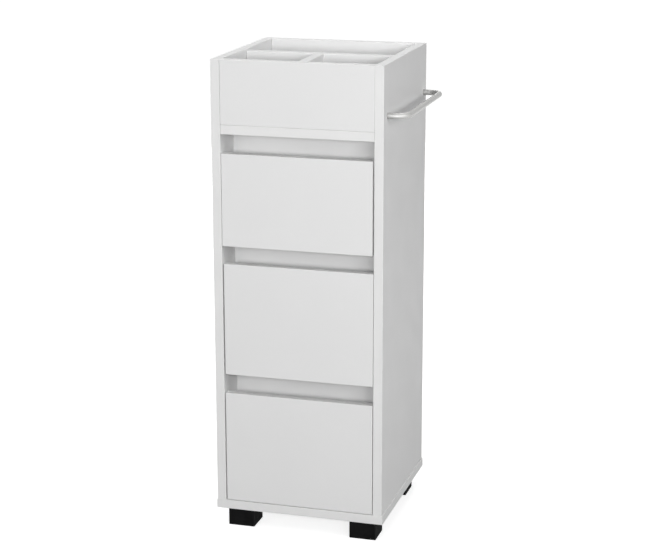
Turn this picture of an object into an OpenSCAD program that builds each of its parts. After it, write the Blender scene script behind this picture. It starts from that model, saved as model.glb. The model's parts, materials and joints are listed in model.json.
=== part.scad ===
// Bathroom storage tower: a slim cabinet on four block feet, with an open divided tray on top,
// three drawers on roller runners under it, and a bent towel rail on its right side.
// Front faces -Y. The origin lies on the floor, under the middle of the whole tower's outline.

/* [Cabinet] */
// Outside width over the two side panels
cabinet_w = 300; // [280:1:360]
// Depth of the side panels
cabinet_d = 300; // [295:1:340]
// Thickness of the boards
board_t = 16; // [15:1:18]
// How far the bottom panel stands out past each side panel
base_overhang = 1.5; // [0:0.5:4]
// Thickness of the hardboard back sheet
back_sheet_t = 2.5; // [2:0.5:4]

/* [Tray] */
// Height of the tray's walls above its floor
tray_h = 110; // [100:1:150]
// How far the dividers stay below the rim
divider_drop = 4; // [0:1:15]
// Front face of the cross divider, from the cabinet's front
cross_divider_y = 142; // [130:1:160]
// Middle of the depth divider, to the right of the cabinet's middle
depth_divider_x = -1; // [-20:1:20]

/* [Drawer fronts] */
// Height of the upper drawer's front
upper_front_h = 160.5; // [150:0.5:200]
// Height of the middle drawer's front
middle_front_h = 198; // [150:0.5:220]
// Height of the lower drawer's front
lower_front_h = 198; // [150:0.5:220]
// Height of the grip gap over the upper drawer's front
upper_grip_h = 33; // [30:0.5:40]
// Height of the grip gap over the middle drawer's front
middle_grip_h = 31; // [30:0.5:40]
// Height of the grip gap over the lower drawer's front
lower_grip_h = 34; // [30:0.5:40]
// Gap under the lower drawer's front
floor_gap = 1.5; // [1:0.5:3]
// Mean gap between a drawer front and each side panel
side_gap = 1.25; // [1:0.25:2]
// How far the upper front hangs off the middle, negative to the left
upper_front_shift = -0.5; // [-0.5:0.1:0.5]
// How far the middle front hangs off the middle, negative to the left
middle_front_shift = 0.5; // [-0.5:0.1:0.5]
// Depth of the grip gaps, from the front to the cross rails
grip_depth = 68; // [55:1:80]
// Height of the middle and lower cross rails
cross_rail_h = 56; // [52:1:58]

/* [Drawer boxes] */
// Thickness of the drawer box's sides and back
box_board_t = 12; // [12:1:14]
// Length of the drawer box behind its front
box_len = 250; // [240:1:270]
// How far the box's bottom edge lies above the front's bottom edge
box_rise = 8; // [7:0.5:12]
// How far the box's top edge lies below the front's top edge
box_drop = 33; // [33:0.5:45]
// Thickness of the drawer bottoms
box_bottom_t = 3; // [2.5:0.5:4]
// How far each drawer pulls out
drawer_travel = 190; // [120:1:195]

/* [Feet] */
// Width and depth of a foot
foot_w = 47.5; // [40:0.5:60]
// Height of a foot
foot_h = 30; // [26:1:60]
// Left side panel's outer face to the left feet
left_foot_inset = 20.5; // [0:0.5:40]
// Right side panel's outer face to the right feet
right_foot_inset = 10.5; // [0:0.5:40]
// Back edge of the side panels to the rear feet
rear_foot_inset = 33.5; // [0:0.5:60]

/* [Towel rail] */
// Diameter of the rail
rail_d = 10; // [9:0.5:14]
// Distance between the middles of the rail's two legs
rail_span = 256; // [160:32:256]
// Side panel's outer face to the middle of the bar
rail_reach = 33; // [30:1:60]
// Radius of the bends, on the rail's middle line
rail_bend_r = 20; // [12:1:22]
// Height of the rail's middle above the floor
rail_z = 743; // [735:1:760]

/* [Hidden] */
$fn = 48;

// The three drawer levels, and the two sides of the cabinet
upper = 0;
middle = 1;
lower = 2;
levels = [upper, middle, lower];
left = -1;
right = 1;

// Widths and depths
outer_x = cabinet_w / 2;
inner_x = outer_x - board_t;
base_x = outer_x + base_overhang;
base_d = cabinet_d + back_sheet_t;
middle_x = outer_x - board_t / 2;

// Heights, from the floor up
base_top = foot_h + board_t;
lower_front_z = base_top + floor_gap;
middle_front_z = lower_front_z + lower_front_h + lower_grip_h;
upper_front_z = middle_front_z + middle_front_h + middle_grip_h;
tray_floor_z = upper_front_z + upper_front_h + upper_grip_h;
tray_z = tray_floor_z + board_t;
rim_z = tray_z + tray_h;
divider_h = tray_h - divider_drop;

// Values per drawer level, from the upper to the lower
front_h = [upper_front_h, middle_front_h, lower_front_h];
front_z = [upper_front_z, middle_front_z, lower_front_z];
front_shift = [upper_front_shift, middle_front_shift, 0];
front_half_w = inner_x - side_gap;
rail_foot_drop = 28;
cross_rail_z = [for (level = levels) front_z[level] + front_h[level] - rail_foot_drop];
cross_rail_heights = [tray_floor_z - cross_rail_z[upper], cross_rail_h, cross_rail_h];

// Drawer boxes
runner_w = 12.5;
box_x = inner_x - runner_w;
box_inner_x = box_x - box_board_t;
box_middle_x = box_x - box_board_t / 2;
box_end_y = board_t + box_len;
box_z = [for (level = levels) front_z[level] + box_rise];
box_h = [for (level = levels) front_h[level] - box_rise - box_drop];
groove_rise = 8;
groove_in = 5;
groove_play = 0.2;

// Runners: the channel screwed to the cabinet, and the angle screwed under the drawer
steel_t = 1.2;
channel_h = 30;
channel_lower_w = 10;
channel_upper_w = 6;
channel_y = board_t + 2;
channel_len = 250;
channel_rise = 1.8;
angle_y = board_t + 1;
angle_len = 248;
angle_low_z = -3;
angle_lip_w = 10.5;
angle_track_z = 17.8;
angle_track_w = 10;
roller_r = 8;
roller_w = 7.8;
roller_z = 9.5;
roller_bore_r = 2.05;
roller_edge = 0.6;
pin_r = 2;
pin_head_r = 3.5;
pin_head_h = 1;
fixed_roller_y = channel_y + 10;
fixed_roller_u = 1.7;
fixed_pin_end_u = 9.8;
moving_roller_y = angle_y + angle_len - 10;
moving_roller_u = 3.2;
moving_pin_end_u = 2.9;
stop_t = 2;
stop_h = 8.5;
stop_play = 0.5;
stop_y = moving_roller_y - drawer_travel - roller_r - stop_play - stop_t;

// Dowels, cam bolts and cam locks
dowel_r = 4;
dowel_in_board = 19;
hole_in_host = 11;
wood_play = 0.05;
bolt_thread_r = 2.5;
bolt_shank_r = 3.4;
bolt_neck_r = 2;
bolt_head_r = 3.3;
bolt_shank_end = 17;
bolt_neck_end = 21;
bolt_end = 25.5;
bolt_hole_r = 4;
cam_from_edge = 24;
cam_r = 7.5;
cam_play = 0.05;
cam_recess_r = 3.7;
cam_below_bolt = 4.5;
cam_sunk = 0.1;
cam_slot_l = 7;
cam_slot_w = 1.4;
cam_slot_h = 1.8;

// Screws and nails
screw_r = 1.75;
screw_play = 0.1;
short_screw_l = 14;
short_head_r = 3.3;
short_head_h = 1.6;
box_screw_l = 25;
box_head_r = 3;
box_head_h = 1.5;
rail_screw_r = 2;
rail_screw_in = 9;
rail_hole_in = 12;
rail_head_r = 4;
rail_head_h = 2.4;
nail_r = 0.8;
nail_l = 20;
nail_head_r = 2;
nail_head_h = 0.8;
nail_play = 0.05;

// Where the boards meet the sides, as [y, z] on the side panel's inner face
front_middle_y = board_t / 2;
back_middle_y = cabinet_d - board_t / 2;
divider_middle_y = cross_divider_y + board_t / 2;
cross_rail_middle_y = grip_depth + board_t / 2;
floor_middle_z = tray_floor_z + board_t / 2;
upright_bolt_rise = 30;
upright_dowel_rise = 80;
divider_dowel_rise = 25;
rail_dowel_rise = 15;
rail_bolt_rise = 40;
floor_dowels = [[90, floor_middle_z], [200, floor_middle_z]];
floor_bolts = [[40, floor_middle_z], [cabinet_d - 50, floor_middle_z]];
divider_dowels = [
    [divider_middle_y, tray_z + divider_dowel_rise],
    [divider_middle_y, tray_z + upright_dowel_rise]
];
base_dowel_y = [30, cabinet_d - 30];
base_bolt_y = [70, cabinet_d - 70];
depth_divider_dowel_y = [45, 115];

function upright_dowels(y) = [[y, tray_z + upright_dowel_rise]];
function upright_bolts(y) = [[y, tray_z + upright_bolt_rise]];
function rail_dowels(level) = [[cross_rail_middle_y, cross_rail_z[level] + rail_dowel_rise]];
function rail_bolts(level) = [[cross_rail_middle_y, cross_rail_z[level] + rail_bolt_rise]];

side_dowels = concat(
    floor_dowels, upright_dowels(front_middle_y), upright_dowels(back_middle_y),
    divider_dowels, [for (level = levels) each rail_dowels(level)]
);
side_bolts = concat(
    floor_bolts, upright_bolts(front_middle_y), upright_bolts(back_middle_y),
    [for (level = levels) each rail_bolts(level)]
);

// Screw places
channel_screw_y = [22, 120, 225];
channel_screw_z = 23.9;
angle_screw_y = [40, 200];
box_back_screw_rise = 45;
box_back_screw_drop = 20;
box_bolt_rise = 34;
box_bolt_drop = 22;
angle_screw_u = runner_w + 4.5;
foot_screw_x = 12;
foot_screw_floor = 5;
foot_counterbore_r = 4.2;
rail_leg_y = [(cabinet_d - rail_span) / 2, (cabinet_d + rail_span) / 2];

// Back sheet and its nails
sheet_inset = 2;
sheet_floor_gap = 0.3;
sheet_top_z = tray_floor_z + 11;
sheet_nails_per_side = 5;
sheet_nail_margin = 34;
sheet_top_nail_drop = 5;
sheet_top_nail_x = 70;

// The whole outline's middle on the floor is the origin
outline_right_x = outer_x + rail_reach + rail_d / 2;
origin_x = (outline_right_x - base_x) / 2;
origin_y = base_d / 2;

panel_white = "whitesmoke";
steel_white = "gainsboro";
bare_steel = "silver";
foot_black = "#1a1a1c";

// Places a piece drawn about the cabinet's middle and front into the tower's own frame
module placed() {
    translate([-origin_x, -origin_y, 0])
        children();
}

// Turns what is drawn for the right side into the wanted side
module on_side(side) {
    mirror([side == left ? 1 : 0, 0, 0])
        children();
}

module on_both_sides() {
    for (side = [left, right])
        on_side(side)
            children();
}

// +Z points out of a board's right end and into the side panel
module at_side_joint(spot) {
    translate([inner_x, spot[0], spot[1]])
        rotate([0, 90, 0])
            children();
}

// +Z points down into the bottom panel, under the right side panel
module at_base_joint(y) {
    translate([middle_x, y, base_top])
        rotate([180, 0, 0])
            children();
}

// +Z points out of the drawer's right side board and into its front
module at_front_joint(z) {
    translate([box_middle_x, board_t, z])
        rotate([90, 0, 0])
            children();
}

// x runs from the right side panel towards the drawer, y and z along the runner
module at_runner(level) {
    translate([inner_x, 0, box_z[level] + channel_rise])
        mirror([1, 0, 0])
            children();
}

module dowel(play = 0) {
    translate([0, 0, -dowel_in_board])
        cylinder(h = dowel_in_board + hole_in_host, r = dowel_r + play);
}

module cam_bolt() {
    rotate_extrude()
        polygon([
            [0, hole_in_host], [bolt_thread_r, hole_in_host], [bolt_thread_r, 0],
            [bolt_shank_r, 0], [bolt_shank_r, -bolt_shank_end], [bolt_neck_r, -bolt_shank_end],
            [bolt_neck_r, -bolt_neck_end], [bolt_head_r, -bolt_neck_end],
            [bolt_head_r, -bolt_end], [0, -bolt_end]
        ]);
}

module cam_bolt_hole() {
    cylinder(h = hole_in_host, r = bolt_thread_r + wood_play);
    translate([0, 0, -cam_from_edge])
        cylinder(h = cam_from_edge, r = bolt_hole_r);
}

// A lock goes into its board along +Z, and its bolt comes from +X
module cam_lock(thickness) {
    depth = thickness / 2 + cam_below_bolt;
    difference() {
        translate([0, 0, cam_sunk])
            cylinder(h = depth - cam_sunk, r = cam_r - cam_play);
        translate([-bolt_head_r, 0, thickness / 2])
            rotate([0, 90, 0])
                cylinder(h = cam_r * 2, r = cam_recess_r);
        for (turn = [0, 90])
            rotate([0, 0, turn])
                translate([-cam_slot_l / 2, -cam_slot_w / 2, 0])
                    cube([cam_slot_l, cam_slot_w, cam_slot_h]);
    }
}

module cam_pocket(thickness) {
    depth = thickness / 2 + cam_below_bolt;
    translate([0, 0, -1])
        cylinder(h = depth + 1, r = cam_r);
}

// Cam places for the right end of a board whose locks open to the back, or of the tray floor
module at_upright_cam(spot) {
    translate([inner_x - cam_from_edge, spot[0] + board_t / 2, spot[1]])
        rotate([90, 0, 0])
            children();
}

module at_floor_cam(spot) {
    translate([inner_x - cam_from_edge, spot[0], tray_floor_z])
        children();
}

module at_base_cam(y) {
    translate([inner_x, y, base_top + cam_from_edge])
        rotate([0, 90, 0])
            children();
}

module at_box_cam(z) {
    translate([box_x, board_t + cam_from_edge, z])
        rotate([90, 0, 0])
            rotate([0, -90, 0])
                children();
}

module screw(length, head_r, head_h, shank_r = screw_r) {
    rotate_extrude()
        polygon([
            [0, -head_h], [head_r * 0.7, -head_h], [head_r, -head_h * 0.4], [head_r, 0],
            [shank_r, 0], [shank_r, length - shank_r], [0, length]
        ]);
}

module screw_hole(length) {
    cylinder(h = length, r = screw_r + screw_play);
}

module short_screw() {
    screw(short_screw_l, short_head_r, short_head_h);
}

module box_screw() {
    screw(box_screw_l, box_head_r, box_head_h);
}

// ---- Carcass boards ----

module upright_board(y, z, height, dowels, bolts) {
    difference() {
        translate([-inner_x, y, z])
            cube([2 * inner_x, board_t, height]);
        on_both_sides() {
            for (spot = dowels)
                at_side_joint(spot)
                    dowel(wood_play);
            for (spot = bolts) {
                at_side_joint(spot)
                    cam_bolt_hole();
                at_upright_cam(spot)
                    cam_pocket(board_t);
            }
        }
    }
}

module side_panel(side) {
    color(panel_white)
        placed()
            on_side(side)
                difference() {
                    translate([inner_x, 0, base_top])
                        cube([board_t, cabinet_d, rim_z - base_top]);
                    for (spot = side_dowels)
                        at_side_joint(spot)
                            dowel(wood_play);
                    for (spot = side_bolts)
                        at_side_joint(spot)
                            cam_bolt_hole();
                    for (y = base_dowel_y)
                        at_base_joint(y)
                            dowel(wood_play);
                    for (y = base_bolt_y) {
                        at_base_joint(y)
                            cam_bolt_hole();
                        at_base_cam(y)
                            cam_pocket(board_t);
                    }
                    for (level = levels, y = channel_screw_y)
                        at_runner(level)
                            translate([steel_t, channel_y + y, channel_screw_z])
                                rotate([0, -90, 0])
                                    screw_hole(short_screw_l);
                    for (spot = sheet_side_nails)
                        at_nail(spot)
                            nail_hole();
                    if (side == right)
                        for (y = rail_leg_y)
                            at_rail_screw(y)
                                cylinder(h = board_t, r = rail_screw_r + screw_play);
                }
}

module left_side() {
    side_panel(left);
}

module right_side() {
    side_panel(right);
}

module bottom_panel() {
    color(panel_white)
        placed()
            difference() {
                translate([-base_x, 0, foot_h])
                    cube([2 * base_x, base_d, board_t]);
                on_both_sides() {
                    for (y = base_dowel_y)
                        at_base_joint(y)
                            dowel(wood_play);
                    for (y = base_bolt_y)
                        at_base_joint(y)
                            cam_bolt_hole();
                }
                for (corner = foot_corners)
                    at_foot_screws(corner)
                        screw_hole(short_screw_l);
            }
}

module tray_floor() {
    color(panel_white)
        placed()
            difference() {
                translate([-inner_x, 0, tray_floor_z])
                    cube([2 * inner_x, cabinet_d, board_t]);
                on_both_sides() {
                    for (spot = floor_dowels)
                        at_side_joint(spot)
                            dowel(wood_play);
                    for (spot = floor_bolts) {
                        at_side_joint(spot)
                            cam_bolt_hole();
                        at_floor_cam(spot)
                            cam_pocket(board_t);
                    }
                }
                for (y = depth_divider_dowel_y)
                    at_divider_dowel(y)
                        dowel(wood_play);
                for (spot = sheet_top_nails)
                    at_nail(spot)
                        nail_hole();
            }
}

module tray_front() {
    color(panel_white)
        placed()
            upright_board(0, tray_z, tray_h,
                upright_dowels(front_middle_y), upright_bolts(front_middle_y));
}

module tray_back() {
    color(panel_white)
        placed()
            upright_board(cabinet_d - board_t, tray_z, tray_h,
                upright_dowels(back_middle_y), upright_bolts(back_middle_y));
}

module cross_divider() {
    color(panel_white)
        placed()
            upright_board(cross_divider_y, tray_z, divider_h, divider_dowels, []);
}

// +Z points down into the tray floor, under the depth divider
module at_divider_dowel(y) {
    translate([depth_divider_x, y, tray_z])
        rotate([180, 0, 0])
            children();
}

module depth_divider() {
    color(panel_white)
        placed()
            difference() {
                translate([depth_divider_x - board_t / 2, board_t, tray_z])
                    cube([board_t, cross_divider_y - board_t, divider_h]);
                for (y = depth_divider_dowel_y)
                    at_divider_dowel(y)
                        dowel(wood_play);
            }
}

module cross_rail(level) {
    color(panel_white)
        placed()
            upright_board(grip_depth, cross_rail_z[level], cross_rail_heights[level],
                rail_dowels(level), rail_bolts(level));
}

module upper_cross_rail() {
    cross_rail(upper);
}

module middle_cross_rail() {
    cross_rail(middle);
}

module lower_cross_rail() {
    cross_rail(lower);
}

// ---- Back sheet ----

sheet_low_z = base_top + sheet_floor_gap;
sheet_nail_pitch = (sheet_top_z - sheet_low_z - 2 * sheet_nail_margin) / (sheet_nails_per_side - 1);
sheet_side_nails = [
    for (i = [0 : sheet_nails_per_side - 1])
        [middle_x, sheet_low_z + sheet_nail_margin + i * sheet_nail_pitch]
];
sheet_top_nails = [
    for (x = [-sheet_top_nail_x, 0, sheet_top_nail_x]) [x, sheet_top_z - sheet_top_nail_drop]
];

// +Z points forward into the boards, from the sheet's back face
module at_nail(spot) {
    translate([spot[0], base_d, spot[1]])
        rotate([90, 0, 0])
            children();
}

module nail_hole() {
    translate([0, 0, -1])
        cylinder(h = nail_head_h + 1, r = nail_head_r + nail_play);
    cylinder(h = nail_l, r = nail_r + nail_play);
}

module nail() {
    cylinder(h = nail_head_h, r = nail_head_r);
    cylinder(h = nail_l, r = nail_r);
}

module at_all_nails() {
    on_both_sides()
        for (spot = sheet_side_nails)
            at_nail(spot)
                children();
    for (spot = sheet_top_nails)
        at_nail(spot)
            children();
}

module back_sheet() {
    color(panel_white)
        placed()
            difference() {
                translate([sheet_inset - outer_x, cabinet_d, sheet_low_z])
                    cube([2 * (outer_x - sheet_inset), back_sheet_t, sheet_top_z - sheet_low_z]);
                at_all_nails()
                    nail_hole();
            }
}

module back_nails() {
    color(bare_steel)
        placed()
            at_all_nails()
                nail();
}

// ---- Feet ----

// A foot's corner nearest the cabinet's front left, as [x, y]
left_foot_x = left_foot_inset - outer_x;
right_foot_x = outer_x - right_foot_inset - foot_w;
rear_foot_y = cabinet_d - rear_foot_inset - foot_w;
foot_corners = [
    [left_foot_x, 0], [right_foot_x, 0], [left_foot_x, rear_foot_y], [right_foot_x, rear_foot_y]
];

// +Z points up into the bottom panel, from a screw head's seat inside the foot
module at_foot_screws(corner) {
    for (x = [-foot_screw_x, foot_screw_x])
        translate([corner[0] + foot_w / 2 + x, corner[1] + foot_w / 2, foot_h - foot_screw_floor])
            children();
}

module foot(corner) {
    color(foot_black)
        placed()
            difference() {
                translate([corner[0], corner[1], 0])
                    cube([foot_w, foot_w, foot_h]);
                at_foot_screws(corner) {
                    translate([0, 0, -foot_h])
                        cylinder(h = foot_h, r = foot_counterbore_r);
                    screw_hole(short_screw_l);
                }
            }
}

module front_left_foot() {
    foot(foot_corners[0]);
}

module front_right_foot() {
    foot(foot_corners[1]);
}

module rear_left_foot() {
    foot(foot_corners[2]);
}

module rear_right_foot() {
    foot(foot_corners[3]);
}

// ---- Towel rail ----

rail_x = outer_x + rail_reach;

// +Z points out through the right side panel, from its inner face
module at_rail_screw(y) {
    translate([inner_x, y, rail_z])
        rotate([0, 90, 0])
            children();
}

// The rail's front half, from its leg round its bend to the middle of the bar
module rail_half() {
    translate([outer_x, rail_leg_y[0], rail_z])
        rotate([0, 90, 0])
            cylinder(h = rail_reach - rail_bend_r, d = rail_d);
    translate([rail_x - rail_bend_r, rail_leg_y[0] + rail_bend_r, rail_z])
        rotate([0, 0, -90])
            rotate_extrude(angle = 90)
                translate([rail_bend_r, 0])
                    circle(d = rail_d);
    translate([rail_x, rail_leg_y[0] + rail_bend_r, rail_z])
        rotate([-90, 0, 0])
            cylinder(h = rail_span / 2 - rail_bend_r, d = rail_d);
}

module towel_rail() {
    color(bare_steel)
        placed()
            difference() {
                union() {
                    rail_half();
                    translate([0, cabinet_d, 0])
                        mirror([0, 1, 0])
                            rail_half();
                }
                for (y = rail_leg_y)
                    at_rail_screw(y)
                        cylinder(h = board_t + rail_hole_in, r = rail_screw_r + wood_play);
            }
}

module towel_rail_screws() {
    color(bare_steel)
        placed()
            for (y = rail_leg_y)
                at_rail_screw(y)
                    screw(board_t + rail_screw_in, rail_head_r, rail_head_h, rail_screw_r);
}

// ---- Carcass fasteners ----

module dowels() {
    color("burlywood")
        placed() {
            on_both_sides() {
                for (spot = side_dowels)
                    at_side_joint(spot)
                        dowel();
                for (y = base_dowel_y)
                    at_base_joint(y)
                        dowel();
            }
            for (y = depth_divider_dowel_y)
                at_divider_dowel(y)
                    dowel();
        }
}

module cam_bolts() {
    color(bare_steel)
        placed()
            on_both_sides() {
                for (spot = side_bolts)
                    at_side_joint(spot)
                        cam_bolt();
                for (y = base_bolt_y)
                    at_base_joint(y)
                        cam_bolt();
            }
}

module cam_locks() {
    upright_spots = concat(
        upright_bolts(front_middle_y), upright_bolts(back_middle_y),
        [for (level = levels) each rail_bolts(level)]
    );
    color(bare_steel)
        placed()
            on_both_sides() {
                for (spot = upright_spots)
                    at_upright_cam(spot)
                        cam_lock(board_t);
                for (spot = floor_bolts)
                    at_floor_cam(spot)
                        cam_lock(board_t);
                for (y = base_bolt_y)
                    at_base_cam(y)
                        cam_lock(board_t);
            }
}

// The identical screws that hold the feet and the cabinet runners
module short_screws() {
    color(bare_steel)
        placed() {
            for (corner = foot_corners)
                at_foot_screws(corner)
                    short_screw();
            on_both_sides()
                for (level = levels, y = channel_screw_y)
                    at_runner(level)
                        translate([steel_t, channel_y + y, channel_screw_z])
                            rotate([0, -90, 0])
                                short_screw();
        }
}

// ---- Runners and rollers ----

module roller_pin(from_u, to_u) {
    head_u = to_u > from_u ? to_u : to_u - pin_head_h;
    translate([min(from_u, to_u), 0, 0])
        rotate([0, 90, 0])
            cylinder(h = abs(to_u - from_u), r = pin_r);
    translate([head_u, 0, 0])
        rotate([0, 90, 0])
            cylinder(h = pin_head_h, r = pin_head_r);
}

module cabinet_runner(side, level) {
    color(steel_white)
        placed()
            on_side(side)
                at_runner(level)
                    difference() {
                        union() {
                            translate([0, channel_y, 0])
                                cube([steel_t, channel_len, channel_h]);
                            translate([0, channel_y, 0])
                                cube([channel_lower_w, channel_len, steel_t]);
                            translate([0, channel_y, channel_h - steel_t])
                                cube([channel_upper_w, channel_len, steel_t]);
                            translate([0, stop_y, 0])
                                cube([channel_lower_w, stop_t, steel_t + stop_h]);
                            translate([0, fixed_roller_y, roller_z])
                                roller_pin(0, fixed_pin_end_u);
                        }
                        for (y = channel_screw_y)
                            translate([-1, channel_y + y, channel_screw_z])
                                rotate([0, 90, 0])
                                    cylinder(h = steel_t + 2, r = screw_r + screw_play);
                    }
}

module drawer_runner(side, level) {
    web_u = runner_w - steel_t;
    color(steel_white)
        placed()
            on_side(side)
                at_runner(level)
                    difference() {
                        union() {
                            translate([web_u, angle_y, angle_low_z])
                                cube([steel_t, angle_len, angle_track_z + steel_t - angle_low_z]);
                            translate([web_u, angle_y, angle_low_z])
                                cube([steel_t + angle_lip_w, angle_len, steel_t]);
                            translate([runner_w - angle_track_w, angle_y, angle_track_z])
                                cube([angle_track_w, angle_len, steel_t]);
                            translate([0, moving_roller_y, roller_z])
                                roller_pin(runner_w, moving_pin_end_u);
                        }
                        for (y = angle_screw_y)
                            translate([angle_screw_u, angle_y + y, angle_low_z - 1])
                                cylinder(h = steel_t + 2, r = screw_r + screw_play);
                    }
}

module roller() {
    rotate([0, 90, 0])
        rotate_extrude()
            polygon([
                [roller_bore_r, 0], [roller_r - roller_edge, 0], [roller_r, roller_edge],
                [roller_r, roller_w - roller_edge], [roller_r - roller_edge, roller_w],
                [roller_bore_r, roller_w]
            ]);
}

// The pair on the cabinet's channels, which the drawer's track runs over
module cabinet_rollers(level) {
    color("white")
        placed()
            on_both_sides()
                at_runner(level)
                    translate([fixed_roller_u, fixed_roller_y, roller_z])
                        roller();
}

// The pair at the drawer's rear, which runs along inside the cabinet's channels
module drawer_rollers(level) {
    color("white")
        placed()
            on_both_sides()
                at_runner(level)
                    translate([moving_roller_u, moving_roller_y, roller_z])
                        roller();
}

module upper_left_cabinet_runner() {
    cabinet_runner(left, upper);
}

module upper_right_cabinet_runner() {
    cabinet_runner(right, upper);
}

module upper_cabinet_rollers() {
    cabinet_rollers(upper);
}

module middle_left_cabinet_runner() {
    cabinet_runner(left, middle);
}

module middle_right_cabinet_runner() {
    cabinet_runner(right, middle);
}

module middle_cabinet_rollers() {
    cabinet_rollers(middle);
}

module lower_left_cabinet_runner() {
    cabinet_runner(left, lower);
}

module lower_right_cabinet_runner() {
    cabinet_runner(right, lower);
}

module lower_cabinet_rollers() {
    cabinet_rollers(lower);
}

// ---- Drawers ----

function box_bolt_z(level) = [
    box_z[level] + box_bolt_rise, box_z[level] + box_h[level] - box_bolt_drop
];
function box_back_screw_z(level) = [
    box_z[level] + box_back_screw_rise, box_z[level] + box_h[level] - box_back_screw_drop
];

// +Z points in through the drawer's right side board and into its back board
module at_box_back_screw(z) {
    translate([box_x, box_end_y - box_board_t / 2, z])
        rotate([0, -90, 0])
            children();
}

// +Z points up through the runner's lip and into the drawer's right side board
module at_angle_screw(level, y) {
    at_runner(level)
        translate([angle_screw_u, angle_y + y, angle_low_z])
            children();
}

// The slot that takes the drawer's bottom sheet
module bottom_groove(level) {
    reach_x = box_inner_x + groove_in;
    translate([-reach_x, board_t - groove_in, box_z[level] + groove_rise])
        cube([2 * reach_x, box_len - box_board_t + 2 * groove_in, box_bottom_t + groove_play]);
}

module drawer_front(level) {
    color(panel_white)
        placed()
            difference() {
                translate([front_shift[level] - front_half_w, 0, front_z[level]])
                    cube([2 * front_half_w, board_t, front_h[level]]);
                bottom_groove(level);
                on_both_sides()
                    for (z = box_bolt_z(level))
                        at_front_joint(z)
                            cam_bolt_hole();
            }
}

module drawer_side(side, level) {
    color(panel_white)
        placed()
            difference() {
                on_side(side)
                    difference() {
                        translate([box_inner_x, board_t, box_z[level]])
                            cube([box_board_t, box_len, box_h[level]]);
                        for (z = box_bolt_z(level)) {
                            at_front_joint(z)
                                cam_bolt_hole();
                            at_box_cam(z)
                                cam_pocket(box_board_t);
                        }
                        for (z = box_back_screw_z(level))
                            at_box_back_screw(z)
                                screw_hole(box_screw_l);
                        for (y = angle_screw_y)
                            at_angle_screw(level, y)
                                screw_hole(box_screw_l);
                    }
                bottom_groove(level);
            }
}

module drawer_back(level) {
    color(panel_white)
        placed()
            difference() {
                translate([-box_inner_x, box_end_y - box_board_t, box_z[level]])
                    cube([2 * box_inner_x, box_board_t, box_h[level]]);
                bottom_groove(level);
                on_both_sides()
                    for (z = box_back_screw_z(level))
                        at_box_back_screw(z)
                            screw_hole(box_screw_l);
            }
}

module drawer_bottom(level) {
    reach_x = box_inner_x + groove_in - groove_play;
    color(panel_white)
        placed()
            translate([-reach_x, board_t - groove_in + groove_play, box_z[level] + groove_rise])
                cube([
                    2 * reach_x,
                    box_len - box_board_t + 2 * (groove_in - groove_play),
                    box_bottom_t
                ]);
}

// Cam bolts and locks that pull the front on, and the screws of the back and the runners
module drawer_fasteners(level) {
    color(bare_steel)
        placed()
            on_both_sides() {
                for (z = box_bolt_z(level)) {
                    at_front_joint(z)
                        cam_bolt();
                    at_box_cam(z)
                        cam_lock(box_board_t);
                }
                for (z = box_back_screw_z(level))
                    at_box_back_screw(z)
                        box_screw();
                for (y = angle_screw_y)
                    at_angle_screw(level, y)
                        box_screw();
            }
}

module upper_drawer_front() {
    drawer_front(upper);
}

module upper_drawer_left() {
    drawer_side(left, upper);
}

module upper_drawer_right() {
    drawer_side(right, upper);
}

module upper_drawer_back() {
    drawer_back(upper);
}

module upper_drawer_bottom() {
    drawer_bottom(upper);
}

module upper_left_drawer_runner() {
    drawer_runner(left, upper);
}

module upper_right_drawer_runner() {
    drawer_runner(right, upper);
}

module upper_drawer_rollers() {
    drawer_rollers(upper);
}

module upper_drawer_fasteners() {
    drawer_fasteners(upper);
}

module middle_drawer_front() {
    drawer_front(middle);
}

module middle_drawer_left() {
    drawer_side(left, middle);
}

module middle_drawer_right() {
    drawer_side(right, middle);
}

module middle_drawer_back() {
    drawer_back(middle);
}

module middle_drawer_bottom() {
    drawer_bottom(middle);
}

module middle_left_drawer_runner() {
    drawer_runner(left, middle);
}

module middle_right_drawer_runner() {
    drawer_runner(right, middle);
}

module middle_drawer_rollers() {
    drawer_rollers(middle);
}

module middle_drawer_fasteners() {
    drawer_fasteners(middle);
}

module lower_drawer_front() {
    drawer_front(lower);
}

module lower_drawer_left() {
    drawer_side(left, lower);
}

module lower_drawer_right() {
    drawer_side(right, lower);
}

module lower_drawer_back() {
    drawer_back(lower);
}

module lower_drawer_bottom() {
    drawer_bottom(lower);
}

module lower_left_drawer_runner() {
    drawer_runner(left, lower);
}

module lower_right_drawer_runner() {
    drawer_runner(right, lower);
}

module lower_drawer_rollers() {
    drawer_rollers(lower);
}

module lower_drawer_fasteners() {
    drawer_fasteners(lower);
}

bottom_panel();
left_side();
right_side();
tray_floor();
tray_front();
tray_back();
cross_divider();
depth_divider();
upper_cross_rail();
middle_cross_rail();
lower_cross_rail();
back_sheet();
front_left_foot();
front_right_foot();
rear_left_foot();
rear_right_foot();
towel_rail();
towel_rail_screws();
back_nails();
dowels();
cam_bolts();
cam_locks();
short_screws();
upper_left_cabinet_runner();
upper_right_cabinet_runner();
upper_cabinet_rollers();
middle_left_cabinet_runner();
middle_right_cabinet_runner();
middle_cabinet_rollers();
lower_left_cabinet_runner();
lower_right_cabinet_runner();
lower_cabinet_rollers();
upper_drawer_front();
upper_drawer_left();
upper_drawer_right();
upper_drawer_back();
upper_drawer_bottom();
upper_left_drawer_runner();
upper_right_drawer_runner();
upper_drawer_rollers();
upper_drawer_fasteners();
middle_drawer_front();
middle_drawer_left();
middle_drawer_right();
middle_drawer_back();
middle_drawer_bottom();
middle_left_drawer_runner();
middle_right_drawer_runner();
middle_drawer_rollers();
middle_drawer_fasteners();
lower_drawer_front();
lower_drawer_left();
lower_drawer_right();
lower_drawer_back();
lower_drawer_bottom();
lower_left_drawer_runner();
lower_right_drawer_runner();
lower_drawer_rollers();
lower_drawer_fasteners();
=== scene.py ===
import json
import math

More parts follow.
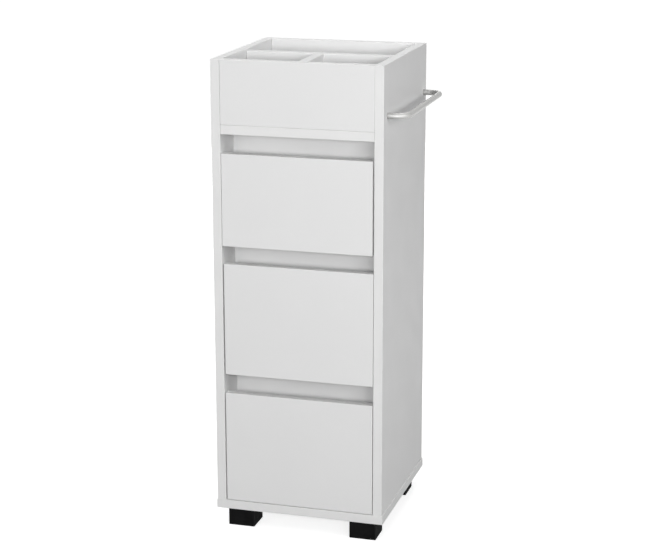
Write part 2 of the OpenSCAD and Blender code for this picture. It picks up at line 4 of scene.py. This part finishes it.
import bmesh
import bpy
from mathutils import Matrix, Vector


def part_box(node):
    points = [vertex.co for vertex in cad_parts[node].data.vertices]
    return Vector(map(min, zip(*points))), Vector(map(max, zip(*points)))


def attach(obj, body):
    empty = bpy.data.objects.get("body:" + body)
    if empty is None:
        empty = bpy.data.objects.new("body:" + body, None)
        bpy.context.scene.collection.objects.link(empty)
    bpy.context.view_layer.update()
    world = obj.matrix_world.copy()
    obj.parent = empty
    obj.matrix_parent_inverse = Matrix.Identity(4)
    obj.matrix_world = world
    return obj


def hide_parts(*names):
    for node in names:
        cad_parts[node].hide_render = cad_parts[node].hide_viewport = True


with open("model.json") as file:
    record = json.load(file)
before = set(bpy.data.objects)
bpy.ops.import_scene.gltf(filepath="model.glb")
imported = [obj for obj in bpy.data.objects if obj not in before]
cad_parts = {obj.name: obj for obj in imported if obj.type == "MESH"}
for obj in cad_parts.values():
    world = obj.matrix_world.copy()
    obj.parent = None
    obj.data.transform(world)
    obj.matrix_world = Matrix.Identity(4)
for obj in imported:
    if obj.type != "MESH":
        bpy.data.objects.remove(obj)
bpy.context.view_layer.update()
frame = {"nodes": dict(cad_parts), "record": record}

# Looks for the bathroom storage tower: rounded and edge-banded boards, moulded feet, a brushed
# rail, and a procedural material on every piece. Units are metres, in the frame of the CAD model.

MM = 0.001

# ---- The pieces, by the finish they get ----

LEVELS = ("upper", "middle", "lower")
CARCASS_BOARDS = (
    "bottom_panel", "left_side", "right_side", "tray_floor", "tray_front", "tray_back",
    "cross_divider", "depth_divider", "upper_cross_rail", "middle_cross_rail", "lower_cross_rail",
)
DRAWER_BOARDS = tuple(
    f"{level}_drawer_{part}" for level in LEVELS for part in ("front", "left", "right", "back")
)
SHEETS = ("back_sheet",) + tuple(f"{level}_drawer_bottom" for level in LEVELS)
FEET = tuple(f"{place}_foot" for place in ("front_left", "front_right", "rear_left", "rear_right"))
RUNNERS = tuple(
    f"{level}_{side}_{owner}_runner"
    for level in LEVELS for side in ("left", "right") for owner in ("cabinet", "drawer")
)
ROLLERS = tuple(f"{level}_{owner}_rollers" for level in LEVELS for owner in ("cabinet", "drawer"))
PLATED = ("towel_rail_screws", "back_nails", "cam_bolts", "short_screws") + tuple(
    f"{level}_drawer_fasteners" for level in LEVELS
)

body_of = {
    node: body for body, nodes in frame["record"]["behaviour"]["bodies"].items() for node in nodes
}

# ---- How meshes are cleaned ----

WELD = 0.005 * MM              # points closer than this become one
FLAT_TURN = math.radians(0.5)  # faces that turn less than this become one flat face
SHARP_TURN = math.radians(40)  # edges that turn more than this stay sharp in the shading
ON_BOX = 0.02 * MM             # a point this near to a side of the node's box lies in it
STRAIGHT_ON = 0.999            # the normal's part along an axis, for a face square to that axis
FACE_WEIGHT = 100              # large faces decide the shading of the round edges beside them

# The order of a board's materials.
FACE, BAND, CORE = range(3)

# ---- How edges are rounded ----

CARCASS_ROUND = 0.7 * MM
DRAWER_ROUND = 0.6 * MM
SHEET_ROUND = 0.25 * MM
FOOT_ROUND = 1.1 * MM
RUNNER_ROUND = 0.3 * MM
ROUND_STEPS = 3
# Feet and runners are rounded only along edges that turn more, and are longer, than this.
SQUARE_EDGE = math.radians(80)
LONG_EDGE = 8 * MM

# How far a board's left end, right end and underside are drawn in, in millimetres, so that its
# seams and gaps show as they do in the photograph.
DRAWN_IN = {
    "tray_floor": (0.45, 0.1, 0.0),
    "tray_front": (0.45, 0.1, 0.2),
    "tray_back": (0.45, 0.1, 0.0),
    "cross_divider": (0.45, 0.1, 0.0),
    "upper_drawer_front": (0.0, 0.8, 0.0),
    "middle_drawer_front": (0.8, 0.0, 0.0),
    "lower_drawer_front": (0.9, 0.1, 0.0),
}

# ---- The towel rail ----

RAIL_RADIUS = 5 * MM
RAIL_BEND = 20 * MM
RAIL_BEND_STEPS = 20
RAIL_STRAIGHT_STEPS = 8
RAIL_AROUND = 48
# The tube's radius, in the units of its brushing. Along the tube they are millimetres.
BRUSHING_RADIUS = 12

# ---- Camera, solved from the corners of the cabinet in the photograph ----

IMAGE_WIDTH = 650
FOCAL_LENGTH_PX = 1803
SENSOR_WIDTH = 36.0
CAMERA_PLACE = (0.8577, -2.9694, 1.2442)
CAMERA_YAW = math.radians(16.35)
CAMERA_PITCH = math.radians(-14.77)
CAMERA_ROLL = math.radians(-0.13)
NEAREST, FURTHEST = 0.05, 100.0

# ---- Light ----

AMBIENT = 0.05
LAMP_TARGET = Vector((0, 0, 0.45))
# name: place, width, height, watts
LAMPS = {
    "front_lamp": ((0.2, -3.1, 1.15), 2.4, 0.5, 36),
    "front_high_lamp": ((0.2, -3.0, 1.9), 2.4, 0.4, 5),
    "left_front_lamp": ((-1.5, -2.8, 1.2), 1.2, 0.5, 6),
    "right_lamp": ((1.7, -2.7, 1.25), 1.2, 0.5, 23),
    "side_lamp": ((2.8, -0.9, 1.6), 1.6, 1.6, 26),
    "left_lamp": ((-3.0, 0.3, 1.4), 1.6, 1.6, 32),
    "top_lamp": ((0.0, -1.3, 3.0), 2.4, 1.6, 9),
    "crown_lamp": ((-0.3, 0.9, 3.0), 2.0, 1.2, 25),
    "back_lamp": ((-1.4, 3.2, 0.6), 2.6, 0.8, 50),
}

# ---- Floor ----

FLOOR_SIZE = 60.0
FLOOR_PARTS = 8
# What the camera sees of the floor, and what lights the object from it.
FLOOR_COLOUR = (0.6, 0.6, 0.6)
FLOOR_BOUNCE = (0.2, 0.2, 0.2)
# The floor's own white is weaker near the object, so that the shadow shows there, and full beyond.
SHADOW_RADIUS, SHADOW_END = 0.2, 1.1
WHITE_IN_SHADOW = 0.75


# ---- Materials ----

# Most values of a noise lie between these.
NOISE_LOW, NOISE_HIGH = 0.3, 0.7
# Sockets of a colour Mix node, which share their names with its other sockets.
MIX_FIRST, MIX_SECOND, MIX_RESULT = 6, 7, 2


class Look:
    """One material, and short calls that add the nodes its texture is made of."""

    def __init__(self, name, roughness, metallic=0.0, specular=0.5):
        self.material = bpy.data.materials.new(name)
        self.material.use_nodes = True
        self.tree = self.material.node_tree
        self.shader = self.tree.nodes["Principled BSDF"]
        self.shader.inputs["Roughness"].default_value = roughness
        self.shader.inputs["Metallic"].default_value = metallic
        self.shader.inputs["Specular IOR Level"].default_value = specular
        self.place = self.add("ShaderNodeTexCoord").outputs["Object"]

    def add(self, kind, **settings):
        node = self.tree.nodes.new(kind)
        for setting, value in settings.items():
            setattr(node, setting, value)
        return node

    def join(self, source, target):
        self.tree.links.new(source, target)

    def stretched(self, stretch, source=None):
        """The place, or source, with each axis multiplied by stretch."""
        node = self.add("ShaderNodeMapping")
        node.inputs["Scale"].default_value = stretch
        self.join(source or self.place, node.inputs["Vector"])
        return node.outputs["Vector"]

    def noise(self, per_metre, detail=2.0, place=None):
        node = self.add("ShaderNodeTexNoise")
        node.inputs["Scale"].default_value = per_metre
        node.inputs["Detail"].default_value = detail
        self.join(place or self.place, node.inputs["Vector"])
        return node.outputs["Fac"]

    def cells(self, per_metre, place):
        node = self.add("ShaderNodeTexVoronoi")
        node.inputs["Scale"].default_value = per_metre
        self.join(place, node.inputs["Vector"])
        return node.outputs["Distance"]

    def spread(self, factor, low=0.0, high=1.0):
        """The middle of a noise's range, spread over low to high."""
        node = self.add("ShaderNodeMapRange")
        node.inputs["From Min"].default_value = NOISE_LOW
        node.inputs["From Max"].default_value = NOISE_HIGH
        node.inputs["To Min"].default_value = low
        node.inputs["To Max"].default_value = high
        self.join(factor, node.inputs["Value"])
        return node.outputs["Result"]

    def mixed(self, factor, first, second):
        """Colour first where factor is 0 and second where it is 1. Each is a colour or a socket."""
        node = self.add("ShaderNodeMix", data_type="RGBA")
        self.join(factor, node.inputs["Factor"])
        for socket, colour in ((MIX_FIRST, first), (MIX_SECOND, second)):
            if isinstance(colour, tuple):
                node.inputs[socket].default_value = (*colour, 1.0)
            else:
                self.join(colour, node.inputs[socket])
        return node.outputs[MIX_RESULT]

    def attribute(self, name):
        """The mesh attribute, as a node with a Fac and a Vector."""
        return self.add("ShaderNodeAttribute", attribute_name=name)

    def bump(self, height, distance):
        """Adds height, in steps of distance, on top of the bumps added before."""
        node = self.add("ShaderNodeBump")
        node.inputs["Distance"].default_value = distance
        node.inputs["Strength"].default_value = 1.0
        self.join(height, node.inputs["Height"])
        normal = self.shader.inputs["Normal"]
        if normal.is_linked:
            self.join(normal.links[0].from_socket, node.inputs["Normal"])
        self.join(node.outputs["Normal"], normal)

    def colour(self, socket):
        self.join(socket, self.shader.inputs["Base Color"])

    def roughness(self, socket):
        self.join(socket, self.shader.inputs["Roughness"])


def melamine():
    """Satin white foil on the boards' faces: a fine pearl grain and slow, faint clouds."""
    look = Look("melamine_face", 0.46, specular=0.3)
    clouds = look.spread(look.noise(7, 3))
    grain = look.spread(look.noise(1500, 2))
    cloudy = look.mixed(clouds, (0.845, 0.846, 0.845), (0.868, 0.868, 0.866))
    grainy = look.mixed(grain, (0.825, 0.825, 0.824), (0.868, 0.868, 0.867))
    foil = look.mixed(look.spread(look.noise(300, 1), 0.25, 0.55), cloudy, grainy)
    # The rounded edges are painted paler: partly wear, partly a painted sheen where the edges catch
    # light.
    edge = look.attribute("rounded").outputs["Fac"]
    look.colour(look.mixed(edge, foil, (0.88, 0.88, 0.876)))
    look.roughness(look.spread(look.noise(24, 4), 0.41, 0.53))
    look.bump(look.noise(1300, 2), 0.012 * MM)
    look.bump(look.noise(170, 2), 0.03 * MM)
    return look.material


def edge_band():
    """Glued plastic band on the boards' narrow edges: smoother, with faint marks of the scraper."""
    look = Look("edge_band", 0.46, specular=0.3)
    clouds = look.spread(look.noise(18, 2))
    look.colour(look.mixed(clouds, (0.850, 0.850, 0.847), (0.872, 0.872, 0.868)))
    look.roughness(look.spread(look.noise(420, 3), 0.42, 0.50))
    look.bump(look.noise(700, 2), 0.006 * MM)
    return look.material


def chipboard():
    """Raw core of the boards, inside holes and grooves."""
    look = Look("chipboard_core", 0.9, specular=0.2)
    chips = look.cells(420, look.stretched((1.0, 0.45, 1.0)))
    tone = look.spread(look.noise(700, 4))
    chip_colour = look.mixed(chips, (0.50, 0.36, 0.21), (0.30, 0.20, 0.11))
    look.colour(look.mixed(tone, chip_colour, (0.60, 0.46, 0.29)))
    look.roughness(look.spread(tone, 0.8, 0.98))
    look.bump(chips, 0.25 * MM)
    return look.material


def sheet_face():
    """Lacquered hardboard: off-white, with the fibres' faint relief under the lacquer."""
    look = Look("lacquered_hardboard", 0.48, specular=0.35)
    fibres = look.noise(900, 4, look.stretched((1.0, 1.0, 0.35)))
    clouds = look.spread(look.noise(9, 3))
    look.colour(look.mixed(clouds, (0.825, 0.824, 0.815), (0.850, 0.849, 0.840)))
    look.roughness(look.spread(look.noise(40, 3), 0.42, 0.56))
    look.bump(fibres, 0.03 * MM)
    look.bump(look.noise(120, 2), 0.05 * MM)
    return look.material


def sheet_edge():
    """Cut edges of the hardboard, brown and fibrous."""
    look = Look("hardboard_edge", 0.88, specular=0.2)
    fibres = look.spread(look.noise(1600, 4))
    look.colour(look.mixed(fibres, (0.23, 0.14, 0.075), (0.36, 0.24, 0.14)))
    look.roughness(look.spread(fibres, 0.8, 0.95))
    look.bump(fibres, 0.08 * MM)
    return look.material


def foot_plastic():
    """Black moulded plastic with a fine spark-eroded grain, a little paler on its rounded edges."""
    look = Look("foot_plastic", 0.6, specular=0.01)
    clouds = look.spread(look.noise(55, 3))
    body = look.mixed(clouds, (0.0078, 0.0078, 0.0080), (0.0122, 0.0122, 0.0126))
    # The rounded edges are painted paler: partly wear, partly a painted sheen where the edges catch
    # light.
    edge = look.attribute("rounded").outputs["Fac"]
    look.colour(look.mixed(edge, body, (0.018, 0.018, 0.0185)))
    look.roughness(look.spread(look.noise(500, 3), 0.52, 0.70))
    look.bump(look.noise(2300, 2), 0.06 * MM)
    look.bump(look.noise(130, 2), 0.08 * MM)
    return look.material


def rail_metal():
    """Satin tube: hair lines that run along it, round the bends too."""
    look = Look("satin_rail", 0.5, metallic=1.0)
    along = look.attribute("along").outputs["Vector"]
    lines = look.noise(1.0, 4, look.stretched((1.0, 1.0, 0.02), along))
    fine = look.noise(3.0, 2, look.stretched((1.0, 1.0, 0.05), along))
    look.colour(look.mixed(look.spread(lines), (0.36, 0.36, 0.355), (0.46, 0.46, 0.45)))
    look.roughness(look.spread(fine, 0.44, 0.56))
    look.bump(lines, 0.01 * MM)
    look.bump(fine, 0.006 * MM)
    return look.material


def zinc_plate():
    """Bright zinc on screws, nails and bolts: cloudy, with a fine crystalline roughness."""
    look = Look("zinc_plate", 0.32, metallic=1.0)
    clouds = look.spread(look.noise(260, 3))
    look.colour(look.mixed(clouds, (0.42, 0.43, 0.45), (0.56, 0.56, 0.55)))
    look.roughness(look.spread(look.noise(900, 3), 0.24, 0.42))
    look.bump(look.noise(2600, 2), 0.01 * MM)
    return look.material


def zinc_casting():
    """Dull die-cast zinc of the cam locks."""
    look = Look("zinc_casting", 0.5, metallic=1.0)
    clouds = look.spread(look.noise(420, 4))
    look.colour(look.mixed(clouds, (0.40, 0.41, 0.42), (0.56, 0.57, 0.58)))
    look.roughness(look.spread(look.noise(700, 3), 0.42, 0.62))
    look.bump(look.noise(1500, 3), 0.03 * MM)
    return look.material


def beech():
    """Beech dowels: pale wood with short darker flecks."""
    look = Look("beech", 0.7, specular=0.25)
    flecks = look.noise(600, 3, look.stretched((0.2, 1.0, 1.0)))
    look.colour(look.mixed(look.spread(flecks), (0.42, 0.28, 0.15), (0.64, 0.47, 0.29)))
    look.roughness(look.spread(flecks, 0.6, 0.8))
    look.bump(flecks, 0.06 * MM)
    return look.material


def powder_coat():
    """White epoxy on the runners: an orange-peel skin."""
    look = Look("epoxy_runner", 0.36, specular=0.45)
    clouds = look.spread(look.noise(30, 2))
    look.colour(look.mixed(clouds, (0.820, 0.820, 0.811), (0.852, 0.852, 0.843)))
    look.roughness(look.spread(look.noise(200, 3), 0.30, 0.44))
    look.bump(look.noise(650, 2), 0.03 * MM)
    return look.material


def nylon():
    """Natural nylon rollers, slightly milky, with turning marks."""
    look = Look("roller_nylon", 0.45, specular=0.4)
    marks = look.noise(1800, 2, look.stretched((1.0, 0.1, 0.1)))
    look.colour(look.mixed(look.spread(marks), (0.76, 0.75, 0.71), (0.83, 0.82, 0.79)))
    look.roughness(look.spread(marks, 0.38, 0.55))
    look.bump(marks, 0.02 * MM)
    look.shader.inputs["Subsurface Weight"].default_value = 0.1
    look.shader.inputs["Subsurface Radius"].default_value = (0.002, 0.002, 0.0018)
    return look.material


# ---- Meshes ----

def merged_copy(node):
    """The CAD node's mesh as a bmesh, with the triangles of each flat face merged."""
    mesh = bmesh.new()
    mesh.from_mesh(frame["nodes"][node].data)
    bmesh.ops.remove_doubles(mesh, verts=mesh.verts, dist=WELD)
    bmesh.ops.dissolve_limit(
        mesh, angle_limit=FLAT_TURN, verts=mesh.verts, edges=mesh.edges, delimit={"NORMAL"}
    )
    return mesh


def box_side(face, low, high):
    """The axis of the box side that the face lies in, or None for a face inside the box."""
    for axis in range(3):
        if abs(face.normal[axis]) > STRAIGHT_ON:
            height = face.verts[0].co[axis]
            if min(abs(height - low[axis]), abs(height - high[axis])) < ON_BOX:
                return axis
    return None


def round_edges(mesh, edges, size):
    """Rounds the edges and marks the new faces, so that a material can show their wear and a
    painted sheen on them.
    """
    mark = mesh.faces.layers.float.new("rounded")
    made = bmesh.ops.bevel(
        mesh, geom=edges, offset=size, segments=ROUND_STEPS, profile=0.5, affect="EDGES",
        clamp_overlap=True,
    )
    for face in made["faces"]:
        face[mark] = 1.0


def make_piece(mesh, name, node, materials):
    """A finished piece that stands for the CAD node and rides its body."""
    data = bpy.data.meshes.new(name)
    for face in mesh.faces:
        face.smooth = True
    for edge in mesh.edges:
        if edge.is_manifold and edge.calc_face_angle() > SHARP_TURN:
            edge.smooth = False
    mesh.to_mesh(data)
    mesh.free()
    for material in materials:
        data.materials.append(material)
    piece = bpy.data.objects.new(name, data)
    bpy.context.scene.collection.objects.link(piece)
    shading = piece.modifiers.new("even_shading", "WEIGHTED_NORMAL")
    shading.keep_sharp = True
    shading.weight = FACE_WEIGHT
    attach(piece, body_of[node])
    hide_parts(node)


def draw_in(mesh, node, low, high):
    """Draws the board's ends and underside in by what DRAWN_IN says."""
    left, right, under = (amount * MM for amount in DRAWN_IN[node])
    for vert in mesh.verts:
        if abs(vert.co.x - low.x) < ON_BOX:
            vert.co.x += left
        elif abs(vert.co.x - high.x) < ON_BOX:
            vert.co.x -= right
        if abs(vert.co.z - low.z) < ON_BOX:
            vert.co.z += under


def rounded_board(node, size, materials):
    """A flat board with rounded outer edges: faces, edge bands and the raw core of its holes."""
    mesh = merged_copy(node)
    low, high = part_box(node)
    spans = high - low
    thin = min(range(3), key=lambda axis: spans[axis])
    side_of = {face: box_side(face, low, high) for face in mesh.faces}
    for face, side in side_of.items():
        face.material_index = CORE if side is None else FACE if side == thin else BAND
    outer = []
    for edge in mesh.edges:
        sides = {side_of[face] for face in edge.link_faces}
        if len(edge.link_faces) == 2 and len(sides) == 2 and None not in sides:
            outer.append(edge)
    if node in DRAWN_IN:
        draw_in(mesh, node, low, high)
    round_edges(mesh, outer, size)
    make_piece(mesh, f"{node}_finished", node, materials)


def rounded_block(node, size, materials):
    """A moulded or folded piece with its long square edges rounded."""
    mesh = merged_copy(node)
    square = [
        edge for edge in mesh.edges
        if edge.is_manifold and edge.calc_length() > LONG_EDGE
        and edge.calc_face_angle() > SQUARE_EDGE
    ]
    round_edges(mesh, square, size)
    make_piece(mesh, f"{node}_finished", node, materials)


def rail_path():
    """Points of the rail's middle line, from the front leg to the rear one."""
    low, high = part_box("towel_rail")
    height = (low.z + high.z) / 2
    bar_x = high.x - RAIL_RADIUS
    front_y, rear_y = low.y + RAIL_RADIUS, high.y - RAIL_RADIUS
    bend_x = bar_x - RAIL_BEND
    points = [Vector((low.x + (bend_x - low.x) * i / RAIL_STRAIGHT_STEPS, front_y, height))
              for i in range(RAIL_STRAIGHT_STEPS)]
    for i in range(RAIL_BEND_STEPS + 1):
        turn = math.pi / 2 * i / RAIL_BEND_STEPS
        points.append(Vector((bend_x + RAIL_BEND * math.sin(turn),
                              front_y + RAIL_BEND * (1 - math.cos(turn)), height)))
    half = points + [Vector((bar_x, (front_y + rear_y) / 2, height))]
    mirrored = [Vector((p.x, front_y + rear_y - p.y, p.z)) for p in reversed(half[:-1])]
    return half + mirrored


def towel_rail(material):
    """The bent tube, swept along its middle line, with its run kept for the brushing."""
    path = rail_path()
    mesh = bmesh.new()
    run = mesh.verts.layers.float_vector.new("along")
    rings, travelled = [], 0.0
    for i, point in enumerate(path):
        before, after = path[max(i - 1, 0)], path[min(i + 1, len(path) - 1)]
        forward = (after - before).normalized()
        across = forward.cross(Vector((0, 0, 1))).normalized()
        travelled += (point - before).length
        ring = []
        for step in range(RAIL_AROUND):
            turn = 2 * math.pi * step / RAIL_AROUND
            out = across * math.cos(turn) + Vector((0, 0, 1)) * math.sin(turn)
            vert = mesh.verts.new(point + out * RAIL_RADIUS)
            vert[run] = (math.cos(turn) * BRUSHING_RADIUS, math.sin(turn) * BRUSHING_RADIUS,
                         travelled / MM)
            ring.append(vert)
        rings.append(ring)
    for ring, following in zip(rings, rings[1:]):
        for step in range(RAIL_AROUND):
            turn = (step + 1) % RAIL_AROUND
            mesh.faces.new((ring[step], ring[turn], following[turn], following[step]))
    mesh.faces.new(rings[0])
    mesh.faces.new(reversed(rings[-1]))
    bmesh.ops.recalc_face_normals(mesh, faces=mesh.faces)
    make_piece(mesh, "towel_rail_tube", "towel_rail", [material])


# ---- The pieces ----

board_finish = [melamine(), edge_band(), chipboard()]
sheet_finish = [sheet_face(), sheet_edge(), sheet_edge()]
foot_finish = [foot_plastic()]
runner_finish = [powder_coat()]

for node in CARCASS_BOARDS:
    rounded_board(node, CARCASS_ROUND, board_finish)
for node in DRAWER_BOARDS:
    rounded_board(node, DRAWER_ROUND, board_finish)
for node in SHEETS:
    rounded_board(node, SHEET_ROUND, sheet_finish)
for node in FEET:
    rounded_block(node, FOOT_ROUND, foot_finish)
for node in RUNNERS:
    rounded_block(node, RUNNER_ROUND, runner_finish)
towel_rail(rail_metal())

kept_looks = {"cam_locks": zinc_casting(), "dowels": beech()}
plate, roller_look = zinc_plate(), nylon()
kept_looks.update({node: plate for node in PLATED})
kept_looks.update({node: roller_look for node in ROLLERS})
for node, material in kept_looks.items():
    data = frame["nodes"][node].data
    data.materials.clear()
    data.materials.append(material)


# ---- Stage, lamps and camera ----

def seen_directly(tree):
    """1 for rays that show the background itself: camera, glossy and transmission rays."""
    rays = tree.nodes.new("ShaderNodeLightPath")
    total = rays.outputs["Is Camera Ray"]
    for name in ("Is Glossy Ray", "Is Transmission Ray"):
        larger = tree.nodes.new("ShaderNodeMath")
        larger.operation = "MAXIMUM"
        tree.links.new(total, larger.inputs[0])
        tree.links.new(rays.outputs[name], larger.inputs[1])
        total = larger.outputs[0]
    return total


def make_world():
    world = bpy.data.worlds.new("studio")
    bpy.context.scene.world = world
    world.use_nodes = True
    tree = world.node_tree
    background = tree.nodes["Background"]
    background.inputs["Color"].default_value = (1, 1, 1, 1)
    strength = tree.nodes.new("ShaderNodeMapRange")
    strength.inputs["To Min"].default_value = AMBIENT
    strength.inputs["To Max"].default_value = 1.0
    tree.links.new(seen_directly(tree), strength.inputs["Value"])
    tree.links.new(strength.outputs["Result"], background.inputs["Strength"])


def make_floor():
    """A pale floor that keeps the shadow near the object and is plain white further out."""
    mesh = bmesh.new()
    bmesh.ops.create_grid(
        mesh, x_segments=FLOOR_PARTS, y_segments=FLOOR_PARTS, size=FLOOR_SIZE / 2
    )
    data = bpy.data.meshes.new("floor")
    mesh.to_mesh(data)
    mesh.free()
    floor = bpy.data.objects.new("floor", data)
    bpy.context.scene.collection.objects.link(floor)
    material = bpy.data.materials.new("floor")
    material.use_nodes = True
    tree = material.node_tree
    tree.nodes.clear()
    output = tree.nodes.new("ShaderNodeOutputMaterial")
    bounce, plain = (tree.nodes.new("ShaderNodeBsdfDiffuse") for _ in range(2))
    bounce.inputs["Color"].default_value = (*FLOOR_BOUNCE, 1)
    plain.inputs["Color"].default_value = (*FLOOR_COLOUR, 1)
    place = tree.nodes.new("ShaderNodeTexCoord")
    away = tree.nodes.new("ShaderNodeVectorMath")
    away.operation = "LENGTH"
    tree.links.new(place.outputs["Object"], away.inputs[0])
    glow = tree.nodes.new("ShaderNodeMapRange")
    glow.interpolation_type = "SMOOTHSTEP"
    glow.inputs["From Min"].default_value = SHADOW_RADIUS
    glow.inputs["From Max"].default_value = SHADOW_END
    glow.inputs["To Min"].default_value = WHITE_IN_SHADOW
    glow.inputs["To Max"].default_value = 1.0
    tree.links.new(away.outputs["Value"], glow.inputs["Value"])
    white = tree.nodes.new("ShaderNodeEmission")
    tree.links.new(glow.outputs["Result"], white.inputs["Strength"])
    lit = tree.nodes.new("ShaderNodeAddShader")
    tree.links.new(plain.outputs[0], lit.inputs[0])
    tree.links.new(white.outputs[0], lit.inputs[1])
    choice = tree.nodes.new("ShaderNodeMixShader")
    tree.links.new(seen_directly(tree), choice.inputs[0])
    tree.links.new(bounce.outputs[0], choice.inputs[1])
    tree.links.new(lit.outputs[0], choice.inputs[2])
    tree.links.new(choice.outputs[0], output.inputs["Surface"])
    data.materials.append(material)


def make_lamps():
    for name, (place, width, height, watts) in LAMPS.items():
        light = bpy.data.lights.new(name, "AREA")
        light.shape = "RECTANGLE"
        light.size, light.size_y, light.energy = width, height, watts
        lamp = bpy.data.objects.new(name, light)
        lamp.location = place
        lamp.rotation_mode = "QUATERNION"
        lamp.rotation_quaternion = (LAMP_TARGET - Vector(place)).to_track_quat("-Z", "Y")
        bpy.context.scene.collection.objects.link(lamp)


def make_camera():
    data = bpy.data.cameras.new("camera")
    data.sensor_fit = "HORIZONTAL"
    data.sensor_width = SENSOR_WIDTH
    data.lens = FOCAL_LENGTH_PX / IMAGE_WIDTH * SENSOR_WIDTH
    data.clip_start, data.clip_end = NEAREST, FURTHEST
    camera = bpy.data.objects.new("camera", data)
    camera.matrix_world = (
        Matrix.Translation(CAMERA_PLACE)
        @ Matrix.Rotation(CAMERA_YAW, 4, "Z")
        @ Matrix.Rotation(math.radians(90) + CAMERA_PITCH, 4, "X")
        @ Matrix.Rotation(CAMERA_ROLL, 4, "Z")
    )
    bpy.context.scene.collection.objects.link(camera)
    bpy.context.scene.camera = camera


make_world()
make_floor()
make_lamps()
make_camera()
bpy.context.scene.view_settings.view_transform = "Standard"
